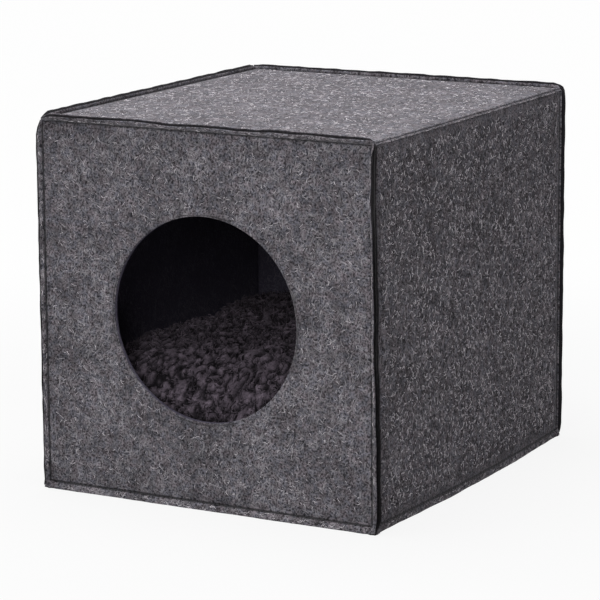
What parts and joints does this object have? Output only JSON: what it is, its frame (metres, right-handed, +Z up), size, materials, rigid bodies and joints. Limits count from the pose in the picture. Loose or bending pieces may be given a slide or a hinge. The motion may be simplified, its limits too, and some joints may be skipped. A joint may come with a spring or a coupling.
{
  "type": "cat condo",
  "caption": "Box-shaped felt cat house with a round entrance in its front, seams sewn outwards along every edge, stiffened walls and a loose plush cushion on its floor.",
  "frame": {"origin": "middle of the footprint, on the surface that the cube stands on", "axes": "+Z up, -Y out of the entrance, +X to the right when facing the entrance from outside"},
  "size_m": [0.33, 0.38, 0.33],
  "materials": {
    "outer_felt": "charcoal heather needle felt with pale fibres",
    "stiffening_board": "plain pasteboard",
    "lining_felt": "dark needle felt",
    "seam_thread": "black polyester thread",
    "plush": "black curly plush",
    "base_cloth": "dark woven cloth",
    "filling": "white fibre filling"
  },
  "bodies": {
    "house": {"front_felt": "outer_felt", "back_felt": "outer_felt", "left_felt": "outer_felt", "right_felt": "outer_felt", "top_felt": "outer_felt", "bottom_felt": "outer_felt", "front_board": "stiffening_board", "back_board": "stiffening_board", "left_board": "stiffening_board", "right_board": "stiffening_board", "top_board": "stiffening_board", "bottom_board": "stiffening_board", "front_lining": "lining_felt", "back_lining": "lining_felt", "left_lining": "lining_felt", "right_lining": "lining_felt", "top_lining": "lining_felt", "bottom_lining": "lining_felt", "front_top_thread": "seam_thread", "front_bottom_thread": "seam_thread", "front_left_thread": "seam_thread", "front_right_thread": "seam_thread", "back_top_thread": "seam_thread", "back_bottom_thread": "seam_thread", "back_left_thread": "seam_thread", "back_right_thread": "seam_thread", "top_left_thread": "seam_thread", "top_right_thread": "seam_thread", "bottom_left_thread": "seam_thread", "bottom_right_thread": "seam_thread"},
    "cushion": {"cushion_plush": "plush", "cushion_base": "base_cloth", "cushion_filling": "filling"}
  },
  "joints": [
    {"name": "cushion_lift", "type": "slide", "parent": "house", "child": "cushion", "axis": [0, 0, 1], "range_m": [0, 0.18]}
  ]
}
